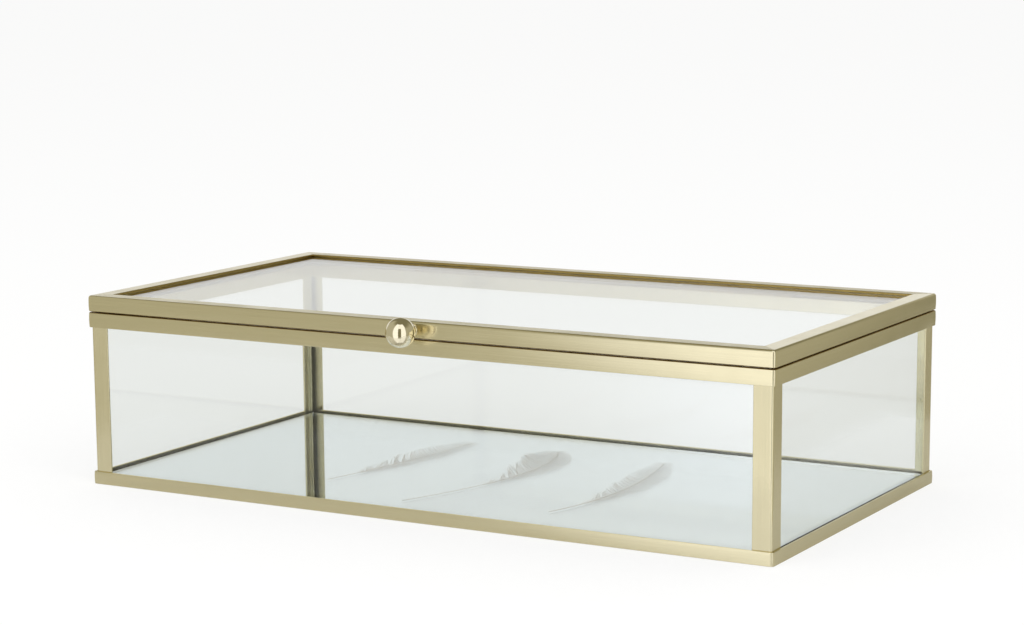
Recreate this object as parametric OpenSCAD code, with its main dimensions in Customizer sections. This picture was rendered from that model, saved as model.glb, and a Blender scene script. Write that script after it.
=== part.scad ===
// Glass casket box: five panes of glass in a frame of thin rolled brass, on a mirrored base,
// with a hinged lid and a ball knob. Millimetres, +Z up, +X along the long front, front at -Y.
// The origin is the middle of the underside, on the plane that the box stands on.

/* [Case] */
// Length of the box over its front rails
case_w = 234; // [180:1:300]
// Depth of the box over its side rails
case_d = 124; // [90:1:180]
// Height of the closed box to the top of the lid's rails
case_h = 60; // [45:1:90]

/* [Rolled brass] */
// Thickness of the rails' sheet
sheet = 0.8; // [0.6:0.05:0.9]
// How far the outer face of a rail bulges at its middle
crown = 0.12; // [0.04:0.01:0.2]
// Rounding of the frame's four corners, seen from above
corner_r = 1.2; // [0.6:0.1:1.6]
// Rounding of a rail's small outer edges
edge_r = 0.3; // [0.1:0.05:0.4]
// Solder-filled joint between two mitred rails
mitre_gap = 0.04; // [0.02:0.01:0.1]

/* [Bottom rail] */
// Height of the bottom rail's outer face
bottom_rail_h = 4; // [3:0.1:6]
// How far its lip reaches in under the glass
bottom_lip = 6; // [5:0.1:10]

/* [Top rail of the case] */
// Height of the channel that caps the walls
top_rail_h = 4.75; // [3:0.05:6]
// Rounding of its two upper edges
top_rail_r = 0.6; // [0.3:0.05:0.75]

/* [Lid rail] */
// Height of the lid's rail
lid_rail_h = 5; // [4.6:0.1:7]
// Width of the lid's rail, seen from above
lid_rail_w = 6; // [5:0.1:9]
// Rounding of its upper outer edge
lid_rail_r = 0.9; // [0.4:0.05:1.2]
// Width of the rail's lower flange, which the hinges are fixed to
lid_flange_w = 2.6; // [2.4:0.1:4]
// Thickness of that flange, which is rolled thinner than the rest
lid_flange_t = 0.5; // [0.4:0.05:0.8]

/* [Corner posts] */
// Width of each leg of a post
post_leg = 6; // [4:0.1:9]
// Thickness of a post's sheet
post_sheet = 0.6; // [0.4:0.05:0.8]
// Rounding of a post's outer edge
post_r = 0.8; // [0.65:0.05:1.2]

/* [Glass] */
// Thickness of the four wall panes
wall_glass = 2; // [1.5:0.1:3]
// Thickness of the lid's pane
lid_glass = 2; // [1.5:0.1:2.2]
// Thickness of the base mirror
mirror_glass = 2; // [1.5:0.1:3]
// Thickness of the card that backs the mirror
backing_t = 0.4; // [0.2:0.05:0.6]

/* [Fits] */
// Clearance between a pane and the brass that holds it
glass_fit = 0.05; // [0.02:0.01:0.1]
// Clearance between a post and the rails' faces
post_fit = 0.05; // [0.02:0.01:0.15]
// Room round the edge of the base mirror and its card
mirror_play = 0.3; // [0.1:0.05:0.5]
// Room between the felt and the lips round it
felt_play = 0.25; // [0.1:0.05:0.5]
// Room between the lid pane's edge and the face of its rail
pane_set = 1.2; // [0.9:0.1:1.6]
// Gap between the closed lid and the case
lid_gap = 0.25; // [0.15:0.05:0.4]
// Room round the hinge leaves in the pocket that the case's rail has for them
leaf_fit = 0.1; // [0.05:0.05:0.2]

/* [Hinges] */
// Distance of each hinge's middle from the middle of the box
hinge_x = 50; // [35:1:60]
// Length of one hinge
hinge_len = 41; // [25:1:60]
// Thickness of a hinge leaf
leaf_t = 0.3; // [0.3:0.025:0.4]
// Room between the two leaves of a closed hinge
leaf_play = 0.05; // [0.02:0.01:0.1]
// How far the leaves reach in from the rear face
leaf_reach = 4.2; // [4:0.1:4.3]
// Rounding of a leaf's two free corners
leaf_corner_r = 0.6; // [0.3:0.1:1]
// Outer radius of the knuckles
knuckle_r = 1.2; // [1:0.05:1.5]
// Number of knuckles on one hinge
knuckle_n = 5; // [3:2:7]
// Room between two knuckles, end to end
knuckle_gap = 0.16; // [0.1:0.02:0.3]
// Room between a knuckle and the rails that are cut back for it
knuckle_clear = 0.2; // [0.15:0.05:0.4]
// Radius of a hinge pin
pin_r = 0.5; // [0.4:0.05:0.6]
// Radial running clearance of a pin
pin_play = 0.05; // [0.02:0.01:0.1]
// Thickness of a pin's peened heads
pin_head_t = 0.4; // [0.2:0.05:0.6]
// Opening angle at which the rear edges of lid and case meet
stop_angle = 110; // [95:1:130]

/* [Knob] */
// Radius of the ball
knob_r = 4.4; // [3:0.1:6]
// Place of the knob to the right of the lid's middle
knob_x = 2; // [-10:0.5:10]
// Length of the neck that shows between collar and ball
neck_len = 1.4; // [0.5:0.1:4]
// Radius of the neck
neck_r = 1.35; // [1.2:0.05:1.6]
// Radius of the flat on the ball that the neck meets
knob_flat_r = 1.6; // [1.6:0.05:2]
// Radius of the collar on the rail's face
collar_r = 2.1; // [1.7:0.1:2.2]
// Thickness of the collar
collar_t = 0.5; // [0.3:0.05:1]
// Radius of the stud where it passes through the rail and into the ball
stud_r = 1; // [0.7:0.05:1.1]
// Radial clearance of the stud in its holes
stud_fit = 0.02; // [0.01:0.01:0.05]
// How far the stud reaches into the ball
stud_depth = 2.6; // [1.5:0.1:3]
// Radius of the stud's peened head inside the rail
stud_head_r = 1.5; // [1.3:0.05:1.6]
// Thickness of that head
stud_head_t = 0.6; // [0.3:0.05:0.8]

/* [Hidden] */
$fn = 48;

brass = [0.80, 0.72, 0.48];
pale_brass = [0.90, 0.84, 0.64];
clear_glass = [0.82, 0.92, 0.90, 0.35];
mirror_silver = [0.85, 0.89, 0.90];
grey_card = [0.55, 0.55, 0.53];
black_felt = [0.10, 0.10, 0.11];

// Cutting tools run past the solids by this much
past = 1;

// Layers through a wall, counted inwards from the frame's outer face
post_in = sheet + post_fit;
pane_in = post_in + post_sheet + glass_fit;
wall_in = pane_in + wall_glass;
top_rail_w = wall_in + 2 * glass_fit + sheet;

// Levels, counted up from the underside
glass_foot = sheet + glass_fit;
mirror_foot = glass_foot + backing_t;
lid_z = case_h - lid_rail_h;
case_top = lid_z - lid_gap;
wall_top = case_top - sheet - glass_fit;
lid_pane_z = case_h - sheet - glass_fit - lid_glass;

// The lid's leaves lie under its rail, and the case's leaves in a pocket cut into the case's rail.
// The hinge line lies just inside the rear face, where the edges stop the lid at stop_angle.
hinge_z = lid_z - leaf_t - leaf_play / 2;
hinge_y = case_d / 2 - crown - (lid_z - hinge_z) / tan(stop_angle / 2);
case_leaf_z = hinge_z - leaf_play / 2 - leaf_t;
knuckle_pitch = hinge_len / knuckle_n;
pin_len = hinge_len + 2 * leaf_play;
relief_len = pin_len + 2 * (pin_head_t + knuckle_clear);

// The knob stands on the face of the lid's front rail, at the middle of its height
knob_z = lid_z + lid_rail_h / 2;
knob_face = -case_d / 2;
ball_y = knob_face - collar_t - neck_len - sqrt(knob_r * knob_r - knob_flat_r * knob_flat_r);

// Which way a side faces, how long it is, and how far apart it and its opposite lie
function side_turn(side) = side == "front" ? 0 : side == "right" ? 90 : side == "rear" ? 180 : 270;
function side_run(side) = side == "front" || side == "rear" ? case_w : case_d;
function side_span(side) = side == "front" || side == "rear" ? case_d : case_w;

// What has to come off a square corner at the origin to round it
module corner_waste(r) {
  difference() {
    translate([-past, -past]) square(r + past);
    translate([r, r]) circle(r);
  }
}

// A rectangle with its first corner at the origin, its corners rounded one by one:
// lower left, lower right, upper right, upper left. A radius of 0 leaves a corner square.
module rounded_bar(w, h, radii) {
  places = [[0, 0], [w, 0], [w, h], [0, h]];
  difference() {
    square([w, h]);
    for (i = [0:3])
      if (radii[i] > 0)
        translate(places[i]) rotate(90 * i) corner_waste(radii[i]);
  }
}

// Everything behind a face that bulges by the crown over the height h
module behind_crown(h) {
  r = (h * h / 4 + crown * crown) / (2 * crown);
  translate([r, h / 2]) circle(r, $fn = 180);
}

// Rail sections: x runs inwards from the outer face, y runs up
module bottom_rail_section() {
  intersection() {
    union() {
      rounded_bar(sheet, bottom_rail_h, [0, 0, edge_r / 2, edge_r]);
      rounded_bar(bottom_lip, sheet, [edge_r, edge_r / 2, edge_r, 0]);
    }
    behind_crown(bottom_rail_h);
  }
}

module top_rail_section() {
  intersection() {
    difference() {
      rounded_bar(top_rail_w, top_rail_h, [edge_r, edge_r, top_rail_r, top_rail_r]);
      translate([sheet, -past]) square([top_rail_w - 2 * sheet, top_rail_h - sheet + past]);
    }
    behind_crown(top_rail_h);
  }
}

// The lid's pane is fixed under the wide upper flange
module lid_rail_section() {
  intersection() {
    difference() {
      rounded_bar(lid_rail_w, lid_rail_h, [edge_r, 0, edge_r, lid_rail_r]);
      translate([sheet, lid_flange_t]) square([lid_rail_w, lid_rail_h - sheet - lid_flange_t]);
      translate([lid_flange_w, -past]) square([lid_rail_w, past + lid_rail_h / 2]);
    }
    behind_crown(lid_rail_h);
  }
}

// The plan of one mitred side: a trapezium with 45 degree ends and the frame's round corners
module mitred_plan(run, span, reach) {
  joint = mitre_gap / sqrt(2);
  intersection() {
    polygon([
      [-run / 2 + joint, -span / 2],
      [run / 2 - joint, -span / 2],
      [run / 2 - joint - reach, -span / 2 + reach],
      [-run / 2 + joint + reach, -span / 2 + reach]
    ]);
    translate([-run / 2, -span / 2]) rounded_bar(run, span, [corner_r, corner_r, corner_r, corner_r]);
  }
}

// A section drawn along one side of the frame and mitred to its neighbours
module mitred_rail(side, height, reach) {
  run = side_run(side);
  span = side_span(side);
  rotate(side_turn(side))
    intersection() {
      translate([-run / 2, -span / 2, 0]) rotate([90, 0, 90]) linear_extrude(run) children();
      linear_extrude(height) mitred_plan(run, span, reach);
    }
}

// The space that the knuckles and pin heads need in the rear rails
module hinge_relief() {
  for (x = [-hinge_x, hinge_x])
    translate([x, hinge_y, hinge_z]) rotate([0, 90, 0])
      cylinder(r = knuckle_r + knuckle_clear, h = relief_len, center = true);
}

// The pocket in the case's rear rail that both leaves of a closed hinge lie in
module leaf_pockets() {
  width = hinge_len + 2 * leaf_fit;
  for (x = [-hinge_x, hinge_x])
    translate([x - width / 2, case_d / 2 - top_rail_w - past, case_leaf_z])
      cube([width, top_rail_w + 2 * past, lid_z - case_leaf_z]);
}

module bottom_rail(side) {
  color(brass) mitred_rail(side, bottom_rail_h, bottom_lip) bottom_rail_section();
}

module top_rail(side) {
  color(brass) difference() {
    translate([0, 0, case_top - top_rail_h])
      mitred_rail(side, top_rail_h, top_rail_w) top_rail_section();
    if (side == "rear") {
      hinge_relief();
      leaf_pockets();
    }
  }
}

module lid_rail(side) {
  color(brass) difference() {
    translate([0, 0, lid_z]) mitred_rail(side, lid_rail_h, lid_rail_w) lid_rail_section();
    if (side == "rear") hinge_relief();
    if (side == "front")
      translate([knob_x, knob_face + sheet + past, knob_z]) rotate([90, 0, 0])
        cylinder(r = stud_r + stud_fit, h = sheet + 2 * past);
  }
}

// An angle of sheet brass round one corner of the glass, standing on the bottom rail's lip
module post(x_way, y_way) {
  corner = [case_w / 2 - post_in, case_d / 2 - post_in];
  bend_r = post_r - post_sheet;
  color(brass)
    scale([x_way, y_way, 1])
      translate([corner[0], corner[1], glass_foot]) rotate(180)
        linear_extrude(wall_top - glass_foot)
          difference() {
            rounded_bar(post_leg, post_leg, [post_r, 0, 0, 0]);
            translate([post_sheet, post_sheet])
              rounded_bar(post_leg, post_leg, [bend_r, 0, 0, 0]);
          }
}

// The front and rear panes run the full width, and the side panes stand between them
module wall_pane(side) {
  long = side == "front" || side == "rear";
  run = side_run(side) - 2 * (long ? pane_in : wall_in + glass_fit);
  color(clear_glass)
    rotate(side_turn(side))
      translate([-run / 2, -side_span(side) / 2 + pane_in, glass_foot])
        cube([run, wall_glass, wall_top - glass_foot]);
}

// A flat sheet inside the frame, its four corners cut square or rounded
module base_sheet(inset, foot, thickness, r) {
  w = case_w - 2 * inset;
  d = case_d - 2 * inset;
  translate([-w / 2, -d / 2, foot]) linear_extrude(thickness) rounded_bar(w, d, [r, r, r, r]);
}

// The felt is glued under the card, flush with the ring of lips, and spares the table
module base_felt() {
  color(black_felt) base_sheet(bottom_lip + felt_play, 0, glass_foot, corner_r);
}

module base_card() {
  color(grey_card) base_sheet(wall_in + mirror_play, glass_foot, backing_t, 0);
}

module base_mirror() {
  color(mirror_silver) base_sheet(wall_in + mirror_play, mirror_foot, mirror_glass, 0);
}

module lid_pane() {
  inset = sheet + pane_set;
  color(clear_glass)
    translate([-case_w / 2 + inset, -case_d / 2 + inset, lid_pane_z])
      cube([case_w - 2 * inset, case_d - 2 * inset, lid_glass]);
}

// Knuckles are counted from the left: the case leaf has the even ones, the lid leaf the odd
function is_own(i, first) = i % 2 == first;
function knuckle_start(i) = -hinge_len / 2 + i * knuckle_pitch;

// A leaf seen from above, cut away where the other leaf's knuckles turn
module leaf_plan(first) {
  depth = hinge_y - case_d / 2 + leaf_reach;
  difference() {
    translate([-hinge_len / 2, hinge_y - depth]) rounded_bar(hinge_len, depth, [leaf_corner_r, leaf_corner_r, 0, 0]);
    for (i = [0:knuckle_n - 1])
      if (!is_own(i, first))
        translate([knuckle_start(i) - knuckle_gap / 2, hinge_y - knuckle_r - knuckle_clear])
          square([knuckle_pitch + knuckle_gap, knuckle_r + knuckle_clear + past]);
  }
}

module hinge_leaf(x, first, leaf_z) {
  color(brass) translate([x, 0, 0]) difference() {
    union() {
      translate([0, 0, leaf_z]) linear_extrude(leaf_t) leaf_plan(first);
      for (i = [0:knuckle_n - 1])
        if (is_own(i, first))
          translate([knuckle_start(i) + knuckle_gap / 2, hinge_y, hinge_z]) rotate([0, 90, 0])
            cylinder(r = knuckle_r, h = knuckle_pitch - knuckle_gap);
    }
    translate([0, hinge_y, hinge_z]) rotate([0, 90, 0])
      cylinder(r = pin_r + pin_play, h = hinge_len + 2 * past, center = true);
  }
}

module hinge_case_leaf(x) {
  hinge_leaf(x, 0, case_leaf_z);
}

module hinge_lid_leaf(x) {
  hinge_leaf(x, 1, lid_z - leaf_t);
}

module hinge_pin(x) {
  head_r = (pin_r + knuckle_r) / 2;
  color(brass) translate([x, hinge_y, hinge_z]) rotate([0, 90, 0]) {
    cylinder(r = pin_r, h = pin_len, center = true);
    for (way = [0, 180])
      rotate([way, 0, 0]) translate([0, 0, pin_len / 2])
        cylinder(r1 = head_r, r2 = pin_r, h = pin_head_t);
  }
}

// The knob's pieces are turned about an axis that points out of the rail's face
module on_knob_axis() {
  translate([knob_x, knob_face, knob_z]) rotate([90, 0, 0]) children();
}

module knob_collar() {
  color(pale_brass) on_knob_axis() rotate_extrude()
    translate([neck_r + stud_fit, 0])
      rounded_bar(collar_r - neck_r - stud_fit, collar_t, [0, 0, collar_t / 2, 0]);
}

// A stepped stud: peened head inside the rail, shank through its face, neck, spigot in the ball
module knob_stud() {
  neck_end = collar_t + neck_len;
  color(pale_brass) on_knob_axis() rotate_extrude()
    polygon([
      [0, -sheet - stud_head_t],
      [stud_head_r, -sheet - stud_head_t],
      [stud_head_r, -sheet],
      [stud_r, -sheet],
      [stud_r, 0],
      [neck_r, 0],
      [neck_r, neck_end],
      [stud_r, neck_end],
      [stud_r, neck_end + stud_depth],
      [0, neck_end + stud_depth]
    ]);
}

module knob_ball() {
  flat = knob_face - ball_y - collar_t - neck_len;
  color(pale_brass) translate([knob_x, ball_y, knob_z]) rotate([90, 0, 0])
    difference() {
      sphere(knob_r, $fn = 96);
      translate([0, 0, -flat - 2 * knob_r]) cylinder(r = 2 * knob_r, h = 2 * knob_r);
      translate([0, 0, -flat - past])
        cylinder(r = stud_r + stud_fit, h = past + stud_depth + stud_fit);
    }
}

base_felt();
base_card();
base_mirror();
bottom_rail("front");  // bottom_rail_front
bottom_rail("right");  // bottom_rail_right
bottom_rail("rear");  // bottom_rail_rear
bottom_rail("left");  // bottom_rail_left
post(-1, -1);  // post_front_left
post(1, -1);  // post_front_right
post(1, 1);  // post_rear_right
post(-1, 1);  // post_rear_left
wall_pane("front");  // wall_pane_front
wall_pane("right");  // wall_pane_right
wall_pane("rear");  // wall_pane_rear
wall_pane("left");  // wall_pane_left
top_rail("front");  // top_rail_front
top_rail("right");  // top_rail_right
top_rail("rear");  // top_rail_rear
top_rail("left");  // top_rail_left
hinge_case_leaf(-hinge_x);  // hinge_case_leaf_left
hinge_case_leaf(hinge_x);  // hinge_case_leaf_right
hinge_pin(-hinge_x);  // hinge_pin_left
hinge_pin(hinge_x);  // hinge_pin_right
lid_pane();
lid_rail("front");  // lid_rail_front
lid_rail("right");  // lid_rail_right
lid_rail("rear");  // lid_rail_rear
lid_rail("left");  // lid_rail_left
hinge_lid_leaf(-hinge_x);  // hinge_lid_leaf_left
hinge_lid_leaf(hinge_x);  // hinge_lid_leaf_right
knob_collar();
knob_stud();
knob_ball();
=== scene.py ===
"""Glass casket box: glass panes in a frame of thin rolled brass, on a mirrored base.

Sizes in the dataclasses are real millimetres, and MM turns them to the metres of the meshes.
+X runs along the long front, the front faces -Y, and Z = 0 is the plane the box stands on.
"""

from __future__ import annotations

import logging
import math
from dataclasses import dataclass
from enum import Enum
from typing import Any

import bmesh
import bpy
import numpy as np
from bpy.types import Material, Mesh, NodeSocket, NodeTree, Object
from mathutils import Matrix

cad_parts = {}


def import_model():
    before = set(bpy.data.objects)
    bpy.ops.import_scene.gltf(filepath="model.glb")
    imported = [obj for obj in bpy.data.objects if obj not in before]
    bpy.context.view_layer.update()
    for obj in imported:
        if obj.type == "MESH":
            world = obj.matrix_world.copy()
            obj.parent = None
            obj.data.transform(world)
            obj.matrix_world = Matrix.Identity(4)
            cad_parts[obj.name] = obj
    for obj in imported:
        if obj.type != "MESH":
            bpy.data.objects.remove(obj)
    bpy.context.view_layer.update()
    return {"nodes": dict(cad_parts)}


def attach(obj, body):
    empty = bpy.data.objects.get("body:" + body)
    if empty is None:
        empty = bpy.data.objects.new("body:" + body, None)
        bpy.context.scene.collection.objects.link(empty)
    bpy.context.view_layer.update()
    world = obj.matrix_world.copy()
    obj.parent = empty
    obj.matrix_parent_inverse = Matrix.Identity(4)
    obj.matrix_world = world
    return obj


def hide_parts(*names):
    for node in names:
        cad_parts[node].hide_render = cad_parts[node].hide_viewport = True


MM = 0.001
REAL_EDGE = math.radians(32)  # faces that meet at less than this are one smooth surface
LOG = logging.getLogger("casket")


class Run(Enum):
    """The direction in which a strip of brass was drawn, which its fine lines follow."""

    ALONG_X = (1.0, 0.0, 0.0)
    ALONG_Y = (0.0, 1.0, 0.0)
    UPRIGHT = (0.0, 0.0, 1.0)


class Side(Enum):
    """A side of the box, with the turn about Z that brings the front to it."""

    FRONT = 0
    RIGHT = 90
    REAR = 180
    LEFT = 270

    @property
    def label(self) -> str:
        """The side's word in the names of nodes."""
        return self.name.lower()

    @property
    def run(self) -> Run:
        """The direction of the rails on this side."""
        return Run.ALONG_X if self in (Side.FRONT, Side.REAR) else Run.ALONG_Y


# ---------------------------------------------------------------- shapes


def rounded_outline(corners: np.ndarray, radii: np.ndarray, steps: int = 6) -> np.ndarray:
    """Round the corners of a right-angled outline, as rolling and deburring leave them.

    Each corner P with unit directions a to the last and b to the next corner becomes the quarter
    arc C - r (b cos t + a sin t) about C = P + r (a + b). A point just outside each end of an
    arc keeps the flats between the arcs flat when the surface is shaded smoothly.

    Args:
        corners: The outline's corners in order, shape (n, 2), in millimetres.
        radii: One radius for each corner, 0 for a sharp one.
        steps: Points on each arc.

    Returns:
        The outline's points in order, shape (m, 2).
    """
    before = np.roll(corners, 1, axis=0) - corners
    after = np.roll(corners, -1, axis=0) - corners
    a = before / np.linalg.norm(before, axis=1, keepdims=True)
    b = after / np.linalg.norm(after, axis=1, keepdims=True)
    r = radii[:, None]
    t = np.linspace(0.0, math.pi / 2, steps)
    turn = b[:, None] * np.cos(t)[None, :, None] + a[:, None] * np.sin(t)[None, :, None]
    arcs = (corners + r * (a + b))[:, None] - r[:, None] * turn
    guard = np.where(r > 0, r + 0.04, 0.0)
    points = np.concatenate(
        [(corners + guard * a)[:, None], arcs, (corners + guard * b)[:, None]], axis=1
    ).reshape(-1, 2)
    kept = np.linalg.norm(points - np.roll(points, 1, axis=0), axis=1) > 1e-6
    return points[kept]


def crowned(outline: np.ndarray, height: float, crown: float, steps: int = 15) -> np.ndarray:
    """Bulge the outer face of a rail's section, as rolling over a die leaves it.

    The face is the arc of a circle through both edges: u = R - sqrt(R^2 - (z - h/2)^2) with
    R = (h^2/4 + c^2) / 2c, and the section keeps only what lies behind it.

    Args:
        outline: A section whose last edge is its outer face, at u = 0.
        height: Height h of the rail.
        crown: How far the face's middle stands out, c.
        steps: Points that are added on the face.

    Returns:
        The section with its crowned face.
    """
    radius = (height * height / 4 + crown * crown) / (2 * crown)
    part = np.linspace(0.0, 1.0, steps + 2)[1:-1, None]
    face = outline[-1] * (1 - part) + outline[0] * part
    section = np.concatenate([outline, face])
    bulge = radius - np.sqrt(radius**2 - (section[:, 1] - height / 2) ** 2)
    section[:, 0] = np.maximum(section[:, 0], bulge)
    return section


def mitred_rings(
    section: np.ndarray, run: float, span: float, corner_r: float, gap: float, turn: int
) -> np.ndarray:
    """Carry a section along one side of the frame, round half of each corner.

    A point u inwards from the face goes round the corner on an arc of radius r - u, to the
    mitre at 45 degrees. Points deeper than r have no arc and stop at the mitre, at x = L/2 - u.

    Args:
        section: Points (u inwards, z up), shape (k, 2).
        run: Length L of the side over its corners.
        span: Distance of the side from the opposite one.
        corner_r: The frame's plan radius r.
        gap: Width of the joint between two rails.
        turn: Turn about Z from the front to this side, in degrees.

    Returns:
        The rings of the rail, shape (stations, k, 3), in millimetres.
    """
    half = run / 2 - gap / math.sqrt(2)
    u, z = section[:, 0], section[:, 1]
    round_part = np.clip(corner_r - u, 0.0, None)
    angle = np.linspace(0.0, math.pi / 4, 9)[:, None]
    x = half - np.maximum(u, corner_r) + round_part * np.sin(angle)
    w = np.maximum(u, corner_r) - round_part * np.cos(angle)
    right = np.stack([x, w - span / 2, np.broadcast_to(z, x.shape)], axis=-1)
    left = right[::-1] * np.array([-1.0, 1.0, 1.0])
    return turned(np.concatenate([left, right]), turn)


def turned(points: np.ndarray, degrees: float) -> np.ndarray:
    """Turn points about Z.

    Args:
        points: Any array whose last axis is x, y, z.
        degrees: The turn, from X towards Y.

    Returns:
        The turned points.
    """
    c, s = math.cos(math.radians(degrees)), math.sin(math.radians(degrees))
    return points @ np.array([[c, s, 0.0], [-s, c, 0.0], [0.0, 0.0, 1.0]])


def revolved_rings(profile: np.ndarray, centre: tuple[float, float, float], segments: int = 96) -> np.ndarray:
    """Turn a profile about an axis that points out of the front, towards -Y.

    The point (r, a) goes to centre + (r cos t, -a, r sin t).

    Args:
        profile: Points (radius, distance along the axis), shape (k, 2), in millimetres.
        centre: The axis's origin.
        segments: Points round the axis.

    Returns:
        One ring for each profile point, shape (k, segments, 3).
    """
    t = np.linspace(0.0, 2 * math.pi, segments, endpoint=False)
    r, a = profile[:, :1], profile[:, 1:]
    return np.stack([r * np.cos(t), -a + 0 * t, r * np.sin(t)], axis=-1) + np.array(centre)


def plate_rings(low: np.ndarray, high: np.ndarray, arris: float) -> np.ndarray:
    """A flat sheet of glass with its edges ground off at 45 degrees, as stacked outlines.

    Args:
        low: Lowest corner, in millimetres.
        high: Highest corner.
        arris: Width of the ground edge.

    Returns:
        Four eight-sided rings from the underside to the top, shape (4, 8, 3).
    """
    inset = np.array([arris, 0.0, 0.0, arris])[:, None]
    level = np.array([low[2], low[2] + arris, high[2] - arris, high[2]])[:, None]
    x0, x1, y0, y1 = low[0] + inset, high[0] - inset, low[1] + inset, high[1] - inset
    x = np.concatenate([x0 + arris, x1 - arris, x1, x1, x1 - arris, x0 + arris, x0, x0], axis=1)
    y = np.concatenate([y0, y0, y0 + arris, y1 - arris, y1, y1, y1 - arris, y0 + arris], axis=1)
    return np.stack([x, y, np.broadcast_to(level, x.shape)], axis=-1)


def shell(name: str, rings: np.ndarray, capped: bool = True, seam: float = 0.0) -> Object:
    """Skin rings of points into one closed piece, in metres.

    Args:
        name: The piece's name.
        rings: Closed rings in order, shape (s, k, 3), in millimetres.
        capped: True if the first and the last ring are closed by a face.
        seam: Width in millimetres of the break on the edges of the end faces, 0 for none.

    Returns:
        The new object, at the origin.
    """
    count, size = rings.shape[:2]
    corner = np.arange(count * size).reshape(count, size)
    beside = np.roll(corner, -1, axis=1)
    quads = np.stack([corner[:-1], beside[:-1], beside[1:], corner[1:]], axis=-1).reshape(-1, 4)
    faces = quads.tolist()
    if capped:
        faces += [corner[0, ::-1].tolist(), corner[-1].tolist()]
    mesh = bpy.data.meshes.new(name)
    mesh.from_pydata((rings.reshape(-1, 3) * MM).tolist(), [], faces)
    shape = bmesh.new()
    shape.from_mesh(mesh)
    shape.faces.ensure_lookup_table()
    ends = shape.faces[len(quads) :] if capped and seam > 0 else []
    edges = [edge for face in ends for edge in face.edges]
    if edges:
        bmesh.ops.bevel(
            shape, geom=edges, offset=seam * MM, segments=2, profile=0.5, affect="EDGES", clamp_overlap=True
        )
    bmesh.ops.remove_doubles(shape, verts=shape.verts, dist=2e-7)
    bmesh.ops.dissolve_degenerate(shape, edges=shape.edges, dist=1e-7)
    bmesh.ops.recalc_face_normals(shape, faces=shape.faces)
    shape.to_mesh(mesh)
    shape.free()
    return finish_mesh(name, mesh)


def finish_mesh(name: str, mesh: Mesh) -> Object:
    """Smooth a mesh up to its real edges and put it in the scene.

    Args:
        name: The piece's name.
        mesh: The mesh, in metres.

    Returns:
        The new object, at the origin.
    """
    mesh.polygons.foreach_set("use_smooth", np.ones(len(mesh.polygons), dtype=bool))
    mesh.set_sharp_from_angle(angle=REAL_EDGE)
    piece = bpy.data.objects.new(name, mesh)
    bpy.context.scene.collection.objects.link(piece)
    return piece


def rod_rings(centre: tuple[float, float, float], radius: float, length: float) -> np.ndarray:
    """A round rod along X, as a ring of points at each end.

    Args:
        centre: The rod's middle, in millimetres.
        radius: Its radius.
        length: Its length.

    Returns:
        Two rings of 96 points, shape (2, 96, 3).
    """
    t = np.linspace(0.0, 2 * math.pi, 96, endpoint=False)
    x = np.array([-length / 2, length / 2])[:, None] + 0 * t
    return np.stack([x, radius * np.cos(t) + 0 * x, radius * np.sin(t) + 0 * x], axis=-1) + np.array(centre)


def block_rings(low: tuple[float, float, float], high: tuple[float, float, float]) -> np.ndarray:
    """A square block, as a ring of points at its foot and one at its top.

    Args:
        low: Its lowest corner, in millimetres.
        high: Its highest corner.

    Returns:
        Two rings of four points, shape (2, 4, 3).
    """
    x = np.array([low[0], high[0], high[0], low[0]])
    y = np.array([low[1], low[1], high[1], high[1]])
    z = np.array([low[2], high[2]])[:, None]
    return np.stack([x + 0 * z, y + 0 * z, z + 0 * x], axis=-1)


def cut(piece: Object, rings: np.ndarray) -> None:
    """Cut a closed shape out of a piece, as a cutter on the bench would.

    Args:
        piece: The piece to cut.
        rings: The cutter's rings, in millimetres.
    """
    cutter = shell("cutter", rings)
    change = piece.modifiers.new("cut", "BOOLEAN")
    change.operation, change.solver, change.object = "DIFFERENCE", "EXACT", cutter
    graph = bpy.context.evaluated_depsgraph_get()
    mesh = bpy.data.meshes.new_from_object(piece.evaluated_get(graph))
    piece.modifiers.clear()
    piece.data = mesh
    mesh.set_sharp_from_angle(angle=REAL_EDGE)
    bpy.data.objects.remove(cutter)


# ---------------------------------------------------------------- finishes


def linear(code: str) -> tuple[float, float, float, float]:
    """Turn an sRGB hex colour to the linear values that a shader takes.

    Args:
        code: A colour such as "#E6DCB2".

    Returns:
        Linear red, green, blue and an alpha of 1.
    """
    parts = [int(code[i : i + 2], 16) / 255 for i in (1, 3, 5)]
    red, green, blue = (p / 12.92 if p <= 0.04045 else ((p + 0.055) / 1.055) ** 2.4 for p in parts)
    return red, green, blue, 1.0


def add(
    tree: NodeTree,
    kind: str,
    links: dict[Any, Any] | None = None,
    out: int | str = 0,
    **settings: Any,
) -> Any:
    """Add one node.

    Args:
        tree: The node tree.
        kind: The node's type, without the word ShaderNode.
        links: For each input, by name or number, the socket that feeds it or its value.
        out: The output that is wanted, by name or number.
        settings: The node's own properties.

    Returns:
        The wanted output's socket, or None from a node that has no outputs.
    """
    made = tree.nodes.new("ShaderNode" + kind)
    for name, value in settings.items():
        setattr(made, name, value)
    for place, value in (links or {}).items():
        if isinstance(value, NodeSocket):
            tree.links.new(value, made.inputs[place])
        else:
            made.inputs[place].default_value = value
    return made.outputs[out] if made.outputs else None


def new_material(name: str) -> tuple[Material, NodeTree]:
    """Start a node material.

    Args:
        name: The material's name.

    Returns:
        The material and its empty node tree.
    """
    material = bpy.data.materials.new(name)
    material.use_nodes = True
    material.node_tree.nodes.clear()
    return material, material.node_tree


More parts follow.
